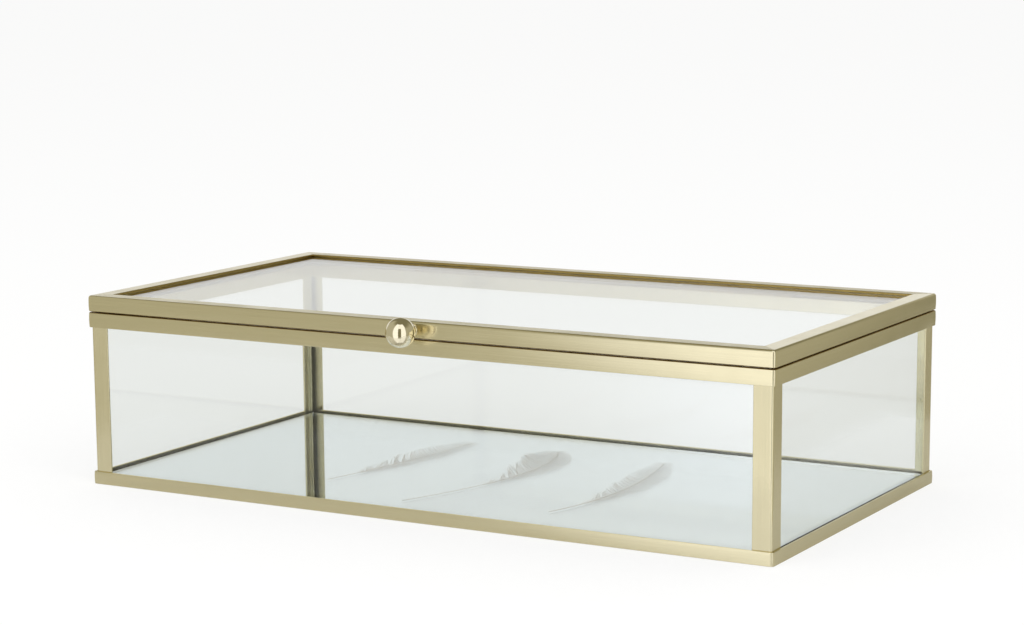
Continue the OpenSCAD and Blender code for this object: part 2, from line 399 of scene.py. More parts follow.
def mottle(tree: NodeTree, size_mm: float, detail: float, distortion: float = 0.0) -> Any:
    """Lay a noise of a real size on a piece's Object coordinates.

    Args:
        tree: The node tree.
        size_mm: Size of its grains.
        detail: How many finer layers it has.
        distortion: How far its grains curl.

    Returns:
        A socket with values about 0.5.
    """
    place = add(tree, "TexCoord", out="Object")
    links = {"Vector": place, "Scale": 1 / (size_mm * MM), "Detail": detail, "Distortion": distortion}
    return add(tree, "TexNoise", links)


def shaded(tree: NodeTree, colour: str, pattern: Any, darkest: float) -> Any:
    """Darken a colour a little where a pattern is low.

    Args:
        tree: The node tree.
        colour: The colour, in sRGB hex.
        pattern: The pattern's socket.
        darkest: The share of the colour that is left where the pattern is at 0.3 or below.

    Returns:
        The colour's socket.
    """
    tone = add(tree, "MapRange", {0: pattern, 1: 0.3, 2: 0.7, 3: darkest, 4: 1.0})
    return add(tree, "Mix", {0: 1.0, 6: linear(colour), 7: tone}, 2, data_type="RGBA", blend_type="MULTIPLY")


def flecked(tree: NodeTree, colour: str, fleck: str, pattern: Any, low: float, high: float) -> Any:
    """Go over from one colour to another as a pattern goes from low to high.

    Args:
        tree: The node tree.
        colour: The first colour, in sRGB hex.
        fleck: The second colour.
        pattern: The pattern's socket.
        low: Where only the first colour is left.
        high: Where only the second is left.

    Returns:
        The colour's socket.
    """
    share = add(tree, "MapRange", {0: pattern, 1: low, 2: high, 3: 0.0, 4: 1.0})
    return add(tree, "Mix", {0: share, 6: linear(colour), 7: linear(fleck)}, 2, data_type="RGBA")


@dataclass(frozen=True)
class DrawnBrass:
    """Pale brass strip, drawn through rolls and lacquered satin.

    The drawing leaves fine lines along the strip, so a light's reflection smears across the
    lines, lies soft along them, and breaks into thin bright and dull threads.
    """

    run: Run
    colour: str = "#EBE2C0"
    roughness: float = 0.2
    unevenness: float = 0.03
    anisotropy: float = 0.9
    thread_mm: float = 0.28  # real lines are under 0.05 mm, drawn coarser so that they show
    thread_len_mm: float = 34.0
    cloud_mm: float = 9.0
    relief_mm: float = 0.02

    def build(self) -> Material:
        """Return the material for strips that run this way."""
        material, tree = new_material(f"satin_drawn_brass_{self.run.name.lower()}")
        along, across = 1 / (self.thread_len_mm * MM), 1 / (self.thread_mm * MM)
        scale = tuple(along if axis else across for axis in self.run.value)
        lined = add(tree, "Mapping", {"Vector": add(tree, "TexCoord", out="Object"), "Scale": scale})
        threads = add(tree, "TexNoise", {"Vector": lined, "Scale": 1.0, "Detail": 3.0, "Roughness": 0.6})
        both = add(tree, "Math", {0: threads, 1: mottle(tree, self.cloud_mm, 2.0)}, operation="ADD")
        least, most = self.roughness - self.unevenness, self.roughness + self.unevenness
        rough = add(tree, "MapRange", {0: both, 1: 0.7, 2: 1.3, 3: least, 4: most})
        relief = add(tree, "Bump", {"Strength": 0.12, "Distance": self.relief_mm * MM, "Height": threads})
        frames = {"vector_type": "VECTOR", "convert_from": "OBJECT", "convert_to": "WORLD"}
        metal = add(
            tree,
            "BsdfPrincipled",
            {
                "Base Color": shaded(tree, self.colour, threads, 0.93),
                "Metallic": 1.0,
                "Roughness": rough,
                "Anisotropic": self.anisotropy,
                "Anisotropic Rotation": 0.25,
                "Tangent": add(tree, "VectorTransform", {0: self.run.value}, **frames),
                "Normal": relief,
            },
        )
        add(tree, "OutputMaterial", {"Surface": metal})
        return material


@dataclass(frozen=True)
class WorkedBrass:
    """Brass with an even surface, which its name tells: turned and buffed, stamped, or a darker brass that
    paints shade.

    Faint scuffs of the tool or the wheel vary how sharply it mirrors.
    """

    name: str
    colour: str
    roughness: float
    scuff_mm: float

    def build(self) -> Material:
        """Return the material."""
        material, tree = new_material(self.name)
        scuffs = mottle(tree, self.scuff_mm, 4.0)
        least, most = self.roughness * 0.75, self.roughness * 1.3
        metal = add(
            tree,
            "BsdfPrincipled",
            {
                "Base Color": shaded(tree, self.colour, scuffs, 0.95),
                "Metallic": 1.0,
                "Roughness": add(tree, "MapRange", {0: scuffs, 1: 0.3, 2: 0.7, 3: least, 4: most}),
            },
        )
        add(tree, "OutputMaterial", {"Surface": metal})
        return material


@dataclass(frozen=True)
class FloatGlass:
    """Clear soda-lime float glass: colourless through its face, green where seen edge on."""

    waviness_mm: float = 45.0
    relief_mm: float = 0.04
    absorption: str = "#6FCDB4"
    density: float = 14.0

    def build(self) -> Material:
        """Return the glass, which lets the lamps' light through instead of casting caustics."""
        material, tree = new_material("clear_float_glass")
        waves = mottle(tree, self.waviness_mm, 1.0)
        wavy = add(tree, "Bump", {"Strength": 0.05, "Distance": self.relief_mm * MM, "Height": waves})
        glass = add(
            tree,
            "BsdfPrincipled",
            {
                "Base Color": (1.0, 1.0, 1.0, 1.0),
                "Roughness": 0.0,
                "IOR": 1.5,
                "Transmission Weight": 1.0,
                "Normal": wavy,
            },
        )
        clear = add(tree, "BsdfTransparent", {0: (0.94, 0.96, 0.95, 1.0)})
        surface = add(tree, "MixShader", {0: add(tree, "LightPath", out="Is Shadow Ray"), 1: glass, 2: clear})
        tint = add(tree, "VolumeAbsorption", {"Color": linear(self.absorption), "Density": self.density})
        add(tree, "OutputMaterial", {"Surface": surface, "Volume": tint})
        return material


@dataclass(frozen=True)
class Silvering:
    """Silver deposited on the back of the base glass: a clean, faintly cool mirror."""

    colour: str = "#F4F7FB"
    mottle_mm: float = 6.0
    roughness: float = 0.02

    def build(self) -> Material:
        """Return the silver, with the faint mottle of its wet process."""
        material, tree = new_material("mirror_silvering")
        tinted = shaded(tree, self.colour, mottle(tree, self.mottle_mm, 3.0), 0.97)
        links = {"Base Color": tinted, "Metallic": 1.0, "Roughness": self.roughness}
        add(tree, "OutputMaterial", {"Surface": add(tree, "BsdfPrincipled", links)})
        return material


@dataclass(frozen=True)
class PrintedInk:
    """Translucent warm ink, screen printed on the mirror: matt, paler where its film is thin."""

    colour: str = "#DFC9B2"
    pale: str = "#F2E8DA"
    grain_mm: float = 0.8
    roughness: float = 0.55
    cover: float = 0.8

    def build(self) -> Material:
        """Return the ink."""
        material, tree = new_material("screen_printed_ink")
        tinted = flecked(tree, self.colour, self.pale, mottle(tree, self.grain_mm, 3.0), 0.35, 0.65)
        links = {"Base Color": tinted, "Roughness": self.roughness, "Alpha": self.cover}
        add(tree, "OutputMaterial", {"Surface": add(tree, "BsdfPrincipled", links)})
        return material


@dataclass(frozen=True)
class FibreSheet:
    """A pressed fibre sheet, card or felt: matt, with a mottle of fibres and a soft relief."""

    name: str
    colour: str
    fleck: str
    fibre_mm: float
    relief_mm: float
    sheen: float = 0.0

    def build(self) -> Material:
        """Return the material of the sheet."""
        material, tree = new_material(self.name)
        fibres = mottle(tree, self.fibre_mm, 5.0, 1.2)
        relief = add(tree, "Bump", {"Strength": 0.6, "Distance": self.relief_mm * MM, "Height": fibres})
        sheet = add(
            tree,
            "BsdfPrincipled",
            {
                "Base Color": flecked(tree, self.colour, self.fleck, fibres, 0.4, 0.7),
                "Roughness": 0.9,
                "Sheen Weight": self.sheen,
                "Normal": relief,
            },
        )
        add(tree, "OutputMaterial", {"Surface": sheet})
        return material


class Finishes:
    """Every material of the box, built once."""

    def __init__(self) -> None:
        """Build the materials."""
        self.brass = {run: DrawnBrass(run).build() for run in Run}
        # buffed to a near mirror, which only its faint rings soften
        self.knob = WorkedBrass("polished_turned_brass", "#EFE6CB", 0.07, 0.5).build()
        # a duller yellow, as small stamped hinges are neither buffed nor lacquered
        self.hinge = WorkedBrass("stamped_hinge_brass", "#B89F60", 0.3, 1.2).build()
        # painted shade: a dull, darker brown brass on the faces inside the channel and under the lid, where
        # shade falls
        self.raw = WorkedBrass("raw_rolled_brass", "#B0985C", 0.35, 0.8).build()
        self.glass = FloatGlass().build()
        self.silver = Silvering().build()
        self.ink = PrintedInk().build()
        self.card = FibreSheet("grey_backing_card", "#8E8D88", "#A5A39B", 0.7, 0.03).build()
        self.felt = FibreSheet("black_wool_felt", "#1B1B1D", "#34343A", 0.5, 0.15, 0.6).build()


# ---------------------------------------------------------------- the box


@dataclass(frozen=True)
class BoxSizes:
    """The overall sizes and levels that the pieces share, in millimetres."""

    width: float = 234.0
    depth: float = 124.0
    sheet: float = 0.8
    crown: float = 0.12
    corner_r: float = 1.2
    edge_r: float = 0.3
    mitre_gap: float = 0.04
    glass_foot: float = 0.85
    wall_top: float = 53.9
    lid_foot: float = 55.0
    pane_in: float = 1.5
    wall_glass: float = 2.0
    glass_fit: float = 0.05
    mirror_foot: float = 1.27  # a hair above the card, so that the silver isn't lost in it
    mirror_top: float = 3.25

    def length(self, side: Side) -> float:
        """Return the length of a side."""
        return self.width if side.run is Run.ALONG_X else self.depth

    def span(self, side: Side) -> float:
        """Return the distance between a side and its opposite."""
        return self.depth if side.run is Run.ALONG_X else self.width


def place(piece: Object, body: str, slot: str, nodes: list[str], *finish: Material) -> None:
    """Give a finished piece its materials, its body and the nodes it stands for.

    Args:
        piece: The piece.
        body: The body that it rides on.
        slot: The record's slot for its finish; not used.
        nodes: The nodes it replaces.
        finish: Its materials, in the order of their slots.
    """
    piece.data.materials.clear()
    for material in finish:
        piece.data.materials.append(material)
    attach(piece, body)
    if nodes:
        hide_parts(*nodes)
    LOG.info("%s rides on %s", piece.name, body)


class PaintedShade(Enum):
    """Which faces of a rail get a darker brass that paints shade: none, the channel's inside, or the top
    under the lid.
    """

    NOWHERE = 0
    INSIDE = 1
    TOP = 2


@dataclass
class RailSet:
    """Four mitred rails of one section, with the section's sizes in millimetres."""

    label: str
    body: str
    # which faces get the darker brass that paints shade in the channel or under the lid
    paintedshade: PaintedShade
    foot: float
    height: float
    corners: list[tuple[float, float]]
    radii: list[float]
    box: BoxSizes

    def section(self) -> np.ndarray:
        """Return the section's outline, its outer face crowned."""
        outline = rounded_outline(np.array(self.corners), np.array(self.radii))
        return crowned(outline, self.height, self.box.crown)

    def build(self, finishes: Finishes, hinges: HingeSet) -> None:
        """Make and dress the four rails.

        Args:
            finishes: The materials.
            hinges: The hinges that the rear rail is cut back for.
        """
        section = self.section() + np.array([0.0, self.foot])
        for side in Side:
            length, span = self.box.length(side), self.box.span(side)
            rings = mitred_rings(section, length, span, self.box.corner_r, self.box.mitre_gap, side.value)
            piece = shell(f"{self.label}_{side.label}_strip", rings, seam=0.05)
            if side is Side.REAR:
                hinges.free(piece, self.label)
            nodes = [f"{self.label}_{side.label}"]
            place(piece, self.body, "brass_channel", nodes, finishes.brass[side.run], finishes.raw)
            # paint the shade inside the channel and under the lid with the darker brass
            self.leave_raw(piece, side)

    def leave_raw(self, rail: Object, side: Side) -> None:
        """Give the darker brass, which paints shade, to the faces behind the outer wall, where shade falls.

        These are the channel's inside with its cut edges and its foot, or the top that the lid
        closes on. A face is behind the wall where its distance inwards, y + span/2 once turned
        to the front, is larger than the sheet.

        Args:
            rail: The rail.
            side: The side it lies on.
        """
        faces = rail.data.polygons
        centre, normal = np.zeros(len(faces) * 3), np.zeros(len(faces) * 3)
        faces.foreach_get("center", centre)
        faces.foreach_get("normal", normal)
        centre = turned(centre.reshape(-1, 3) / MM, -side.value)
        normal = turned(normal.reshape(-1, 3), -side.value)
        behind = centre[:, 1] + self.box.span(side) / 2 > self.box.sheet - 0.1
        under = centre[:, 2] - self.foot < self.height - self.box.sheet + 0.1
        # the faces painted darker, as shade: the channel's inside, or the top under the lid
        in_shade = {
            PaintedShade.NOWHERE: np.zeros(len(faces), dtype=bool),
            PaintedShade.INSIDE: (behind & (under | (normal[:, 1] > 0.7))) | (under & (normal[:, 2] < -0.35)),
            PaintedShade.TOP: normal[:, 2] > 0.35,
        }[self.paintedshade]
        faces.foreach_set("material_index", in_shade.astype(np.int32))


@dataclass
class HingeSet:
    """The two butt hinges, their leaves in a pocket of the case's rail under the lid."""

    axis_y: float = 61.65243255
    axis_z: float = 54.675
    relief_r: float = 1.4
    relief_len: float = 42.3
    pocket_foot: float = 54.35
    pocket_len: float = 41.2
    pocket_reach: tuple[float, float] = (56.0, 63.0)
    pocket_top: float = 55.675
    places: tuple[float, float] = (-50.0, 50.0)

    def free(self, rail: Object, label: str) -> None:
        """Cut a rear rail back for the knuckles, and the case's one for the leaves too.

        Args:
            rail: The rail.
            label: Which of the three frames it belongs to.
        """
        for x in self.places:
            if label != "bottom_rail":
                cut(rail, rod_rings((x, self.axis_y, self.axis_z), self.relief_r, self.relief_len))
            if label == "top_rail":
                start, end = x - self.pocket_len / 2, x + self.pocket_len / 2
                near, far = self.pocket_reach
                cut(rail, block_rings((start, near, self.pocket_foot), (end, far, self.pocket_top)))

    def dress(self, nodes: dict[str, Object], finishes: Finishes) -> None:
        """Give the leaves and pins their brass.

        Args:
            nodes: The frame's nodes by name.
            finishes: The materials.
        """
        for name, node in nodes.items():
            if name.startswith("hinge_"):
                node.data.materials.clear()
                node.data.materials.append(finishes.hinge)
                LOG.info("%s dressed", name)


@dataclass
class CornerPosts:
    """Four angles of thin brass, folded round the corners of the glass."""

    box: BoxSizes
    inset: float = 0.85
    leg: float = 6.0
    sheet: float = 0.6
    fold_r: float = 0.8
    burr_r: float = 0.12

    def build(self, finishes: Finishes) -> None:
        """Make and dress the posts: an L outline carried from the base to the top rail.

        Args:
            finishes: The materials.
        """
        leg, sheet, burr = self.leg, self.sheet, self.burr_r
        corners = [(0.0, 0.0), (leg, 0.0), (leg, sheet), (sheet, sheet), (sheet, leg), (0.0, leg)]
        radii = [self.fold_r, burr, burr, self.fold_r - sheet, burr, burr]
        outline = rounded_outline(np.array(corners), np.array(radii), 9)
        level = np.array([self.box.glass_foot, self.box.wall_top])[:, None]
        for label, way in {
            "front_left": (-1, -1),
            "front_right": (1, -1),
            "rear_right": (1, 1),
            "rear_left": (-1, 1),
        }.items():
            x = way[0] * (self.box.width / 2 - self.inset - outline[:, 0]) + 0 * level
            y = way[1] * (self.box.depth / 2 - self.inset - outline[:, 1]) + 0 * level
            piece = shell(f"post_{label}_angle", np.stack([x, y, level + 0 * x], axis=-1))
            place(piece, "case", "brass_channel", [f"post_{label}"], finishes.brass[Run.UPRIGHT])


@dataclass
class Glazing:
    """The four wall panes and the lid's pane, cut from 2 mm float glass with ground edges."""

    box: BoxSizes
    arris: float = 0.15
    lid_inset: float = 2.0
    lid_pane_foot: float = 57.15
    lid_glass: float = 2.0

    def build(self, finishes: Finishes) -> None:
        """Make and dress the panes.

        Args:
            finishes: The materials.
        """
        box = self.box
        for side in Side:
            long = side.run is Run.ALONG_X
            inset = box.pane_in if long else box.pane_in + box.wall_glass + box.glass_fit
            half = box.length(side) / 2 - inset
            front = -box.span(side) / 2 + box.pane_in
            rings = plate_rings(
                np.array([-half, front, box.glass_foot]),
                np.array([half, front + box.wall_glass, box.wall_top]),
                self.arris,
            )
            piece = shell(f"wall_pane_{side.label}_sheet", turned(rings, side.value))
            place(piece, "case", "clear_glass", [f"wall_pane_{side.label}"], finishes.glass)
        half_x, half_y = box.width / 2 - self.lid_inset, box.depth / 2 - self.lid_inset
        rings = plate_rings(
            np.array([-half_x, -half_y, self.lid_pane_foot]),
            np.array([half_x, half_y, self.lid_pane_foot + self.lid_glass]),
            self.arris,
        )
        place(shell("lid_pane_sheet", rings), "lid", "clear_glass", ["lid_pane"], finishes.glass)


@dataclass
class FeatherPrint:
    """One printed feather: a bent quill with barbs that leave it in small tufts.

    The quill is the curve (1-s)^2 A + 2s(1-s) B + s^2 C. Each barb leaves it sideways and
    bends towards the tip: R(s) + w (N t + T (lean t + sweep t^2)), with w from the vane's outline.
    """

    start: tuple[float, float]
    bend: tuple[float, float]
    tip: tuple[float, float]
    left: float
    right: float
    seed: int
    paintedshade: float = 0.2
    barbs: int = 125
    tufts: int = 13
    barb_half: float = 0.06
    quill_half: float = 0.26

    def strips(self, rng: np.random.Generator, way: float, wide: float) -> np.ndarray:
        """Work out the barbs of one vane as flat tapering strips.

        Args:
            rng: The feather's own random numbers.
            way: 1 for the left vane and -1 for the right one.
            wide: The vane's greatest width in millimetres.

        Returns:
            Both edges of each strip, shape (barbs, steps, 2, 2).
        """
        s = self.paintedshade + (0.995 - self.paintedshade) * np.linspace(0.0, 1.0, self.barbs) ** 0.92
        q = (s - self.paintedshade) / (1 - self.paintedshade)
        outline = np.sin(math.pi * np.clip(q, 0, 1) ** 0.78 * 0.93 + 0.03) ** 0.62
        tuft = q * self.tufts + rng.uniform(0, 1)
        within = tuft - np.floor(tuft)
        ragged = rng.uniform(0.55, 1.08, self.tufts + 2)[np.floor(tuft).astype(int)]
        fluffy = np.clip(1.25 - 2.2 * q, 0.0, 1.0)
        w = wide * outline * (1 - fluffy + fluffy * ragged) * rng.uniform(0.93, 1.04, self.barbs)
        t = np.linspace(0.0, 1.0, 9)
        root, tangent, normal = self.quill(s)
        lean = 0.75 + 0.25 * (1 - q) - 0.45 * (within - 0.5) * (0.35 + fluffy)
        lean += rng.uniform(-0.3, 0.3, self.barbs)
        sweep = 0.35 + 0.75 * q - 0.8 * fluffy * rng.uniform(-0.3, 1.0, self.barbs)
        forward = (lean[:, None] * t + sweep[:, None] * t**2) * np.clip(1.15 - q, 0.15, 1.0)[:, None]
        middle = (
            root[:, None] + normal[:, None] * (way * w[:, None] * t)[..., None]
            + tangent[:, None] * (w[:, None] * forward)[..., None]
        )
        step = np.gradient(middle, axis=1)
        across = np.stack([-step[..., 1], step[..., 0]], axis=-1)
        across /= np.linalg.norm(across, axis=-1, keepdims=True) + 1e-9
        half = self.barb_half * (1 - 0.6 * t)[None, :, None]
        return np.stack([middle - across * half, middle + across * half], axis=2)

    def quill(self, s: np.ndarray) -> tuple[np.ndarray, np.ndarray, np.ndarray]:
        """Work out points on the quill.

        Args:
            s: Places along it, 0 at the root and 1 at the tip.

        Returns:
            Points, unit tangents and unit normals, each of shape (n, 2).
        """
        a, b, c = (np.array(p) for p in (self.start, self.bend, self.tip))
        s = s[:, None]
        point = (1 - s) ** 2 * a + 2 * s * (1 - s) * b + s**2 * c
        tangent = 2 * (1 - s) * (b - a) + 2 * s * (c - b)
        tangent /= np.linalg.norm(tangent, axis=1, keepdims=True)
        return point, tangent, np.stack([-tangent[:, 1], tangent[:, 0]], axis=1)

    def points(self) -> np.ndarray:
        """Return all strips of the feather, the quill last, shape (n, 9, 2, 2)."""
        rng = np.random.default_rng(self.seed)
        vanes = [self.strips(rng, 1.0, self.left), self.strips(rng, -1.0, self.right)]
        s = np.linspace(0.0, 0.98, 65)
        point, _, normal = self.quill(s)
        half = normal * (self.quill_half * (1 - 0.8 * s))[:, None]
        rib = np.stack([point - half, point + half], axis=1)
        pieces = np.stack([rib[i : i + 9] for i in range(0, 57, 8)])
        return np.concatenate([*vanes, pieces])


@dataclass
class MirrorBase:
    """The base: a sheet of glass silvered on its underside, with three feathers printed on top."""

    box: BoxSizes
    inset: float = 3.8
    arris: float = 0.15
    film: float = 0.012
    feathers: tuple[FeatherPrint, ...] = (
        FeatherPrint((-46.0, -34.5), (-38.0, -4.0), (-34.5, 37.0), 9.5, 5.5, 11),
        FeatherPrint((-9.3, -49.3), (14.0, 6.0), (-3.0, 37.5), 12.5, 6.5, 23, paintedshade=0.3),
        FeatherPrint((36.9, -42.2), (49.0, -8.0), (36.0, 37.0), 7.5, 6.5, 37),
    )

    def build(self, finishes: Finishes) -> None:
        """Make and dress the mirror and its print.

        Args:
            finishes: The materials.
        """
        half_x, half_y = self.box.width / 2 - self.inset, self.box.depth / 2 - self.inset
        rings = plate_rings(
            np.array([-half_x, -half_y, self.box.mirror_foot]),
            np.array([half_x, half_y, self.box.mirror_top]),
            self.arris,
        )
        mirror = shell("base_mirror_sheet", rings)
        place(mirror, "case", "base_mirror", ["base_mirror"], finishes.glass, finishes.silver)
        down = np.zeros(len(mirror.data.polygons) * 3)
        mirror.data.polygons.foreach_get("normal", down)
        silvered = (down.reshape(-1, 3)[:, 2] < -0.99).astype(np.int32)
        mirror.data.polygons.foreach_set("material_index", silvered)
        self.print_feathers(finishes)

    def print_feathers(self, finishes: Finishes) -> None:
        """Lay the feathers on the glass as one thin film.

        Args:
            finishes: The materials.
        """
        strips = np.concatenate([feather.points() for feather in self.feathers])
        count, steps = strips.shape[:2]
        number = np.arange(count * steps * 2).reshape(count, steps, 2)
        quads = np.stack(
            [number[:, :-1, 0], number[:, 1:, 0], number[:, 1:, 1], number[:, :-1, 1]], axis=-1
        ).reshape(-1, 4)
        flat = strips.reshape(-1, 2)
        level = self.box.mirror_top + self.film + 0.004 * (np.arange(len(flat)) // (2 * steps) % 3)
        mesh = bpy.data.meshes.new("feather_print")
        mesh.from_pydata((np.column_stack([flat, level]) * MM).tolist(), [], quads.tolist())
        up = np.zeros(len(mesh.polygons) * 3)
        mesh.polygons.foreach_get("normal", up)
        if np.any(up.reshape(-1, 3)[:, 2] < 0):
            shape = bmesh.new()
            shape.from_mesh(mesh)
            bmesh.ops.reverse_faces(shape, faces=[f for f in shape.faces if f.normal.z < 0])
            shape.to_mesh(mesh)
            shape.free()
        place(finish_mesh("feather_print", mesh), "case", "base_mirror", [], finishes.ink)


@dataclass
class Underside:
    """The card behind the mirror and the felt below it, flush with the frame's lips."""

    box: BoxSizes
    inset: float = 6.25
    corner_r: float = 1.2

    def build(self, nodes: dict[str, Object], finishes: Finishes) -> None:
        """Dress the card, and make the felt as a sheet with soft edges.

        Args:
            nodes: The frame's nodes by name.
            finishes: The materials.
        """
        nodes["base_card"].data.materials.clear()
        nodes["base_card"].data.materials.append(finishes.card)
        half = np.array([self.box.width / 2 - self.inset, self.box.depth / 2 - self.inset])
        corners = np.array([(-1, -1), (1, -1), (1, 1), (-1, 1)]) * half
        outline = rounded_outline(corners, np.full(4, self.corner_r), 9)
        inward = np.array([0.35, 0.1, 0.0, 0.0, 0.1])[:, None, None]
        level = np.array([0.0, 0.1, 0.3, 0.7, self.box.glass_foot])[:, None]
        ring = outline[None] * (1 - inward / half)
        rings = np.concatenate([ring, np.broadcast_to(level, ring.shape[:2])[..., None]], axis=-1)
        place(shell("base_felt_sheet", rings), "case", "base_felt", ["base_felt"], finishes.felt)


@dataclass
class BallKnob:
    """The turned knob on the lid's front rail: a ball on a short neck with a collar."""

    centre: tuple[float, float, float] = (2.0, -62.0, 57.5)
    ball_r: float = 4.4
    flat_r: float = 1.6
    neck_r: float = 1.35
    neck_len: float = 1.4
    collar_r: float = 2.1
    collar_t: float = 0.5
    stud_r: float = 1.0
    stud_fit: float = 0.02
    stud_depth: float = 2.6
    stud_head_r: float = 1.5
    stud_head_t: float = 0.6
    sheet: float = 0.8

    def build(self, finishes: Finishes) -> None:
        """Make and dress the ball, the stud and the collar, each turned about the knob's axis.

        Args:
            finishes: The materials.
        """
        neck_end = self.collar_t + self.neck_len
        middle = neck_end + math.sqrt(self.ball_r**2 - self.flat_r**2)
        t = np.linspace(0.0, math.pi - math.asin(self.flat_r / self.ball_r), 72)
        bore = self.stud_r + self.stud_fit
        ball = np.concatenate(
            [
                np.stack([self.ball_r * np.sin(t), middle + self.ball_r * np.cos(t)], axis=1),
                np.array([[bore, neck_end], [bore, neck_end + self.stud_depth + 0.02]]),
                np.array([[0.0, neck_end + self.stud_depth + 0.02]]),
            ]
        )
        stud = np.array(
            [
                (0.0, -self.sheet - self.stud_head_t),
                (self.stud_head_r, -self.sheet - self.stud_head_t),
                (self.stud_head_r, -self.sheet),
                (self.stud_r, -self.sheet),
                (self.stud_r, 0.0),
                (self.neck_r, 0.0),
                (self.neck_r, neck_end),
                (self.stud_r, neck_end),
                (self.stud_r, neck_end + self.stud_depth),
                (0.0, neck_end + self.stud_depth),
            ]
        )
        inner = self.neck_r + self.stud_fit
        bend = np.linspace(0.0, math.pi / 2, 8)
        round_r = self.collar_t / 2
        lip = np.stack(
            [
                self.collar_r - round_r + round_r * np.cos(bend),
                self.collar_t - round_r + round_r * np.sin(bend),
            ],
            axis=1,
        )
        collar = np.concatenate([[(inner, 0.0), (self.collar_r, 0.0)], lip, [(inner, self.collar_t)]])
        for name, profile in {"knob_ball": ball, "knob_stud": stud}.items():
            piece = shell(f"{name}_turned", revolved_rings(profile, self.centre), capped=False)
            place(piece, "lid", "brass_knob", [name], finishes.knob)
        ring = revolved_rings(np.concatenate([collar, collar[:1]]), self.centre)
        piece = shell("knob_collar_turned", ring, capped=False)
        place(piece, "lid", "brass_knob", ["knob_collar"], finishes.knob)


def rail_sets(box: BoxSizes) -> list[RailSet]:
    """List the frame's three kinds of rail.

    Args:
        box: The shared sizes.

    Returns:
        The bottom, top and lid rails with their sections as (u inwards, z up).
    """
    s, e = box.sheet, box.edge_r
    bottom = RailSet(
        "bottom_rail",
        "case",
        PaintedShade.NOWHERE,
        0.0,
        4.0,
        [(0, 0), (6, 0), (6, s), (s, s), (s, 4), (0, 4)],
        [e, e / 2, e, 0, e / 2, e],
        box,
    )
    top = RailSet(
        "top_rail",
        # its top, under the lid, painted darker as shade
        "case",
        PaintedShade.TOP,
        50.0,
        4.75,
        [(0, 0), (s, 0), (s, 3.95), (3.6, 3.95), (3.6, 0), (4.4, 0), (4.4, 4.75), (0, 4.75)],
        [e, 0, 0, 0, 0, e, 0.6, 0.6],
        box,
    )
    lid = RailSet(
        "lid_rail",
        # its channel's inside painted darker as shade
        "lid",
        PaintedShade.INSIDE,
        box.lid_foot,
        5.0,
        [(0, 0), (2.6, 0), (2.6, 0.5), (s, 0.5), (s, 4.2), (6, 4.2), (6, 5), (0, 5)],
        [0.5, e / 2, e / 2, 0, 0, e / 2, e, 0.9],
        box,
    )
    return [bottom, top, lid]


# ---------------------------------------------------------------- the studio


@dataclass(frozen=True)
class Softbox:
    """A fabric-fronted lamp that lights the box and its shadow on the floor.

    azimuth is counted from -Y towards +X in degrees, and radiance is the brightness of its face.
    Its mirror image comes from the room's panels, whose edges are soft.
    """

    name: str
    azimuth: float
    distance: float
    width: float
    height: float
    foot: float
    radiance: float

    def build(self) -> None:
        """Put the lamp in the scene."""
        data = bpy.data.lights.new(self.name, "AREA")
        data.shape, data.size, data.size_y = "RECTANGLE", self.width, self.height
        data.energy = self.radiance * math.pi * self.width * self.height
        lamp = bpy.data.objects.new(self.name, data)
        a = math.radians(self.azimuth)
        lamp.location = (
            math.sin(a) * self.distance,
            -math.cos(a) * self.distance,
            self.foot + self.height / 2,
        )
        lamp.rotation_euler = (math.radians(90), 0.0, a)
        lamp.visible_camera = lamp.visible_transmission = lamp.visible_glossy = False
        bpy.context.scene.collection.objects.link(lamp)


@dataclass(frozen=True)
class Panel:
    """A lit or dim area of the room as the metal and glass mirror it.

    west and east bound its azimuth, from -Y towards +X, and low and high its elevation, all in
    degrees, and each edge fades over the softness given for it.
    """

    west: float
    east: float
    low: float
    high: float
    level: float
    soft: tuple[float, float, float, float]

    def share(self, tree: NodeTree, azimuth: Any, elevation: Any) -> Any:
        """Build the nodes that tell how far a direction lies inside the panel.

        Args:
            tree: The world's node tree.
            azimuth: The socket with the direction's azimuth.
            elevation: The socket with its elevation.

        Returns:
            A socket that is 1 inside the panel and 0 outside.
        """
        edges = (
            (azimuth, self.west, self.soft[0], 1),
            (azimuth, self.east, self.soft[1], -1),
            (elevation, self.low, self.soft[2], 1),
            (elevation, self.high, self.soft[3], -1),
        )
        total = None
        for value, edge, soft, way in edges:
            limits = {0: value, 1: edge - way * soft / 2, 2: edge + way * soft / 2}
            rise = add(tree, "MapRange", limits, interpolation_type="SMOOTHSTEP")
            total = rise if total is None else add(tree, "Math", {0: total, 1: rise}, operation="MULTIPLY")
        return total


